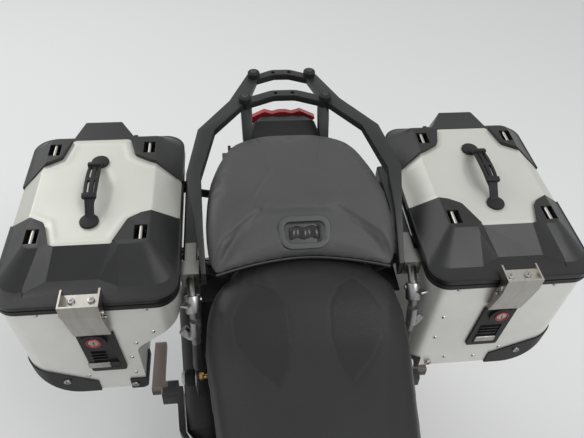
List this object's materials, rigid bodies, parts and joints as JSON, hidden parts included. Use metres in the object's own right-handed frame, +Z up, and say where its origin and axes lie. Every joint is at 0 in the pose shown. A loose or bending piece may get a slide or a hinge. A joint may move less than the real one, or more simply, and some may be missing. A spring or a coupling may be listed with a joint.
{
  "type": "adventure motorcycle",
  "caption": "Large adventure motorcycle on its centre stand, with a stepped seat, cast luggage rack, aluminium side cases under plastic lids, tall screen and chain drive.",
  "frame": {"origin": "on the ground, on the centre plane, midway along the overall length", "axes": "+X forward, +Y to the machine's left, +Z up"},
  "size_m": [2.3, 1.026, 1.418],
  "materials": {
    "alloy_grey": "satin",
    "frame_grey": "satin",
    "engine_alloy": "cast",
    "cover_alloy": "satin",
    "steel": "brushed",
    "stainless": "brushed",
    "case_alloy": "satin",
    "plate_alloy": "satin",
    "black_plastic": "textured",
    "lid_plastic": "satin",
    "rubber": "matte",
    "tyre": "matte",
    "seat_dark": "grained vinyl",
    "seat_mid": "grained vinyl",
    "body_paint": "gloss",
    "panel_paint": "gloss",
    "clear_screen": "clear",
    "lamp_glass": "clear",
    "lamp_red": "translucent",
    "display": "gloss",
    "rack_cast": "cast",
    "iron_disc": "ground",
    "chain_steel": "oiled"
  },
  "bodies": {
    "chassis": {"main_frame": "frame_grey", "subframe": "frame_grey", "engine": "engine_alloy", "engine_covers": "cover_alloy", "swingarm": "alloy_grey", "rear_axle": "steel", "rear_caliper": "cover_alloy", "rear_shock": "steel", "chain": "chain_steel", "radiator": "black_plastic", "exhaust_pipes": "stainless", "silencer": "stainless", "sump_guard": "alloy_grey", "fuel_tank": "body_paint", "rider_seat": "seat_dark", "passenger_seat": "seat_mid", "seat_switch": "black_plastic", "front_cowl": "panel_paint", "headlight": "lamp_glass", "windscreen": "clear_screen", "dash": "display", "side_panels": "panel_paint", "luggage_rack": "rack_cast", "rack_knobs": "rubber", "tail_unit": "black_plastic", "signal_lamps": "lamp_red", "footrests": "cover_alloy", "case_racks": "rack_cast", "case_box_left": "case_alloy", "case_box_right": "case_alloy", "case_fittings": "black_plastic", "case_protectors": "black_plastic"},
    "steering": {"fork_legs": "alloy_grey", "fork_clamps": "cover_alloy", "front_axle": "steel", "handlebar": "frame_grey", "grips": "rubber", "hand_controls": "black_plastic", "hand_guards": "black_plastic", "mirrors": "black_plastic", "front_mudguard": "panel_paint", "front_calipers": "cover_alloy"},
    "front_wheel": {"front_rim": "frame_grey", "front_tyre": "tyre", "front_discs": "iron_disc"},
    "rear_wheel": {"rear_rim": "frame_grey", "rear_tyre": "tyre", "rear_disc": "iron_disc", "rear_sprocket": "chain_steel"},
    "centre_stand": {"centre_stand": "frame_grey"},
    "side_stand": {"side_stand": "frame_grey"},
    "lid_left": {"lid_cover_left": "lid_plastic", "lid_plate_left": "plate_alloy", "lid_handle_left": "rubber", "lid_metal_left": "stainless"},
    "lid_right": {"lid_cover_right": "lid_plastic", "lid_plate_right": "plate_alloy", "lid_handle_right": "rubber", "lid_metal_right": "stainless"}
  },
  "joints": [
    {"name": "steering", "type": "hinge", "parent": "chassis", "child": "steering", "pos_m": [0.9275, 0, 0], "axis": [-0.4147, 0, 0.91], "range_deg": [-35, 35]},
    {"name": "front_wheel_spin", "type": "hinge", "parent": "steering", "child": "front_wheel", "pos_m": [0.825, 0, 0.325], "axis": [0, 1, 0], "continuous": true},
    {"name": "rear_wheel_spin", "type": "hinge", "parent": "chassis", "child": "rear_wheel", "pos_m": [-0.742, 0, 0.33], "axis": [0, 1, 0], "continuous": true},
    {"name": "centre_stand_fold", "type": "hinge", "parent": "chassis", "child": "centre_stand", "pos_m": [-0.33, 0, 0.265], "axis": [0, 1, 0], "range_deg": [0, 88]},
    {"name": "side_stand_fold", "type": "hinge", "parent": "chassis", "child": "side_stand", "pos_m": [-0.178, 0.153, 0.252], "axis": [0, -0.866, -0.5], "range_deg": [0, 97]},
    {"name": "lid_left_hinge", "type": "hinge", "parent": "chassis", "child": "lid_left", "pos_m": [-0.948, 0, 0.903], "axis": [0, -1, 0], "range_deg": [0, 85]},
    {"name": "lid_right_hinge", "type": "hinge", "parent": "chassis", "child": "lid_right", "pos_m": [-0.948, 0, 0.903], "axis": [0, -1, 0], "range_deg": [0, 85]}
  ]
}
